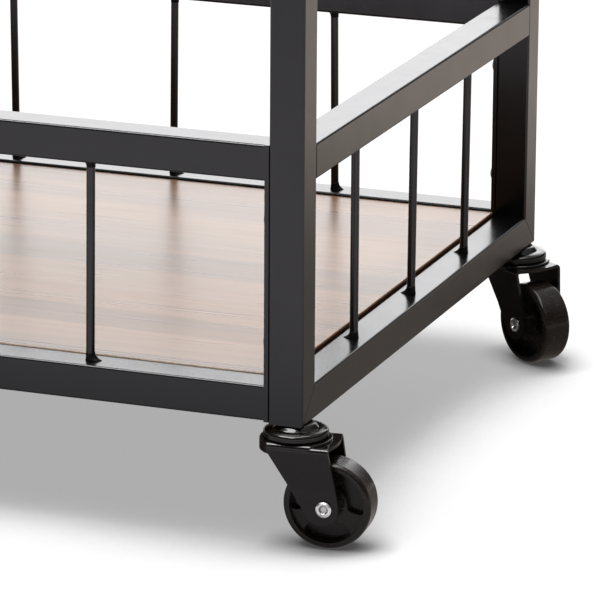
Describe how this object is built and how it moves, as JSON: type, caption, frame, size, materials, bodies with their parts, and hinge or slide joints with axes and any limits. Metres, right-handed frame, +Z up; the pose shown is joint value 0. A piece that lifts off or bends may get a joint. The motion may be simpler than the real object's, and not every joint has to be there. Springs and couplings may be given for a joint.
{
  "type": "bar cart",
  "caption": "Two-tier serving cart: square-tube steel frame with railed wood shelves on swivel casters.",
  "frame": {"origin": "on the floor below the centre of the cart", "axes": "+X to the cart's right along its length, +Y to its rear, +Z up"},
  "size_m": [0.8744, 0.4276, 0.8535],
  "materials": {
    "black_paint": "satin black paint",
    "walnut_board": "satin walnut laminate",
    "gloss_black_steel": "gloss black",
    "black_wheel": "semi-gloss moulded plastic",
    "bright_rivet": "bright zinc",
    "zinc_steel": "zinc plated",
    "bearing_steel": "polished",
    "black_bolt": "black oxide"
  },
  "bodies": {
    "cart_frame": {"caster_cup_front_left": "gloss_black_steel", "caster_cup_front_right": "gloss_black_steel", "caster_cup_rear_left": "gloss_black_steel", "caster_cup_rear_right": "gloss_black_steel", "caster_stem_bushes": "zinc_steel", "caster_stems": "zinc_steel", "front_lower_gallery_rail": "black_paint", "front_lower_shelf_rail": "black_paint", "front_lower_spindles": "black_paint", "front_upper_gallery_rail": "black_paint", "front_upper_shelf_rail": "black_paint", "front_upper_spindles": "black_paint", "lower_shelf_board": "walnut_board", "panel_bolt_inserts": "zinc_steel", "panel_bolts": "black_bolt", "panel_end_plates": "black_paint", "post_front_left": "black_paint", "post_front_right": "black_paint", "post_rear_left": "black_paint", "post_rear_right": "black_paint", "rear_lower_gallery_rail": "black_paint", "rear_lower_shelf_rail": "black_paint", "rear_lower_spindles": "black_paint", "rear_upper_gallery_rail": "black_paint", "rear_upper_shelf_rail": "black_paint", "rear_upper_spindles": "black_paint", "shelf_screws": "zinc_steel", "shelf_tabs": "black_paint", "side_lower_gallery_rail_left": "black_paint", "side_lower_gallery_rail_right": "black_paint", "side_lower_shelf_rail_left": "black_paint", "side_lower_shelf_rail_right": "black_paint", "side_lower_spindles": "black_paint", "side_upper_gallery_rail_left": "black_paint", "side_upper_gallery_rail_right": "black_paint", "side_upper_shelf_rail_left": "black_paint", "side_upper_shelf_rail_right": "black_paint", "side_upper_spindles": "black_paint", "upper_shelf_board": "walnut_board"},
    "swivel_front_right": {"caster_fork_front_right": "gloss_black_steel", "caster_axle_front_right": "bright_rivet", "caster_balls_front_right": "bearing_steel"},
    "wheel_front_right": {"caster_wheel_front_right": "black_wheel", "caster_wheel_bush_front_right": "zinc_steel"},
    "swivel_rear_right": {"caster_fork_rear_right": "gloss_black_steel", "caster_axle_rear_right": "bright_rivet", "caster_balls_rear_right": "bearing_steel"},
    "wheel_rear_right": {"caster_wheel_rear_right": "black_wheel", "caster_wheel_bush_rear_right": "zinc_steel"},
    "swivel_rear_left": {"caster_fork_rear_left": "gloss_black_steel", "caster_axle_rear_left": "bright_rivet", "caster_balls_rear_left": "bearing_steel"},
    "wheel_rear_left": {"caster_wheel_rear_left": "black_wheel", "caster_wheel_bush_rear_left": "zinc_steel"},
    "swivel_front_left": {"caster_fork_front_left": "gloss_black_steel", "caster_axle_front_left": "bright_rivet", "caster_balls_front_left": "bearing_steel"},
    "wheel_front_left": {"caster_wheel_front_left": "black_wheel", "caster_wheel_bush_front_left": "zinc_steel"}
  },
  "joints": [
    {"name": "swivel_front_right", "type": "hinge", "parent": "cart_frame", "child": "swivel_front_right", "pos_m": [0.3923, -0.1937, 0.0689], "axis": [0, 0, 1], "continuous": true},
    {"name": "swivel_rear_right", "type": "hinge", "parent": "cart_frame", "child": "swivel_rear_right", "pos_m": [0.3923, 0.1937, 0.0689], "axis": [0, 0, 1], "continuous": true},
    {"name": "swivel_rear_left", "type": "hinge", "parent": "cart_frame", "child": "swivel_rear_left", "pos_m": [-0.3923, 0.1937, 0.0689], "axis": [0, 0, 1], "continuous": true},
    {"name": "swivel_front_left", "type": "hinge", "parent": "cart_frame", "child": "swivel_front_left", "pos_m": [-0.3923, -0.1937, 0.0689], "axis": [0, 0, 1], "continuous": true},
    {"name": "roll_front_right", "type": "hinge", "parent": "swivel_front_right", "child": "wheel_front_right", "pos_m": [0.41202, -0.1919, 0.0247], "axis": [-0.0906, 0.9959, 0], "continuous": true},
    {"name": "roll_rear_right", "type": "hinge", "parent": "swivel_rear_right", "child": "wheel_rear_right", "pos_m": [0.40832, 0.18206, 0.0247], "axis": [0.5878, 0.809, 0], "continuous": true},
    {"name": "roll_rear_left", "type": "hinge", "parent": "swivel_rear_left", "child": "wheel_rear_left", "pos_m": [-0.41202, 0.1919, 0.0247], "axis": [0.0906, -0.9959, 0], "continuous": true},
    {"name": "roll_front_left", "type": "hinge", "parent": "swivel_front_left", "child": "wheel_front_left", "pos_m": [-0.40832, -0.18206, 0.0247], "axis": [-0.5878, -0.809, 0], "continuous": true}
  ]
}
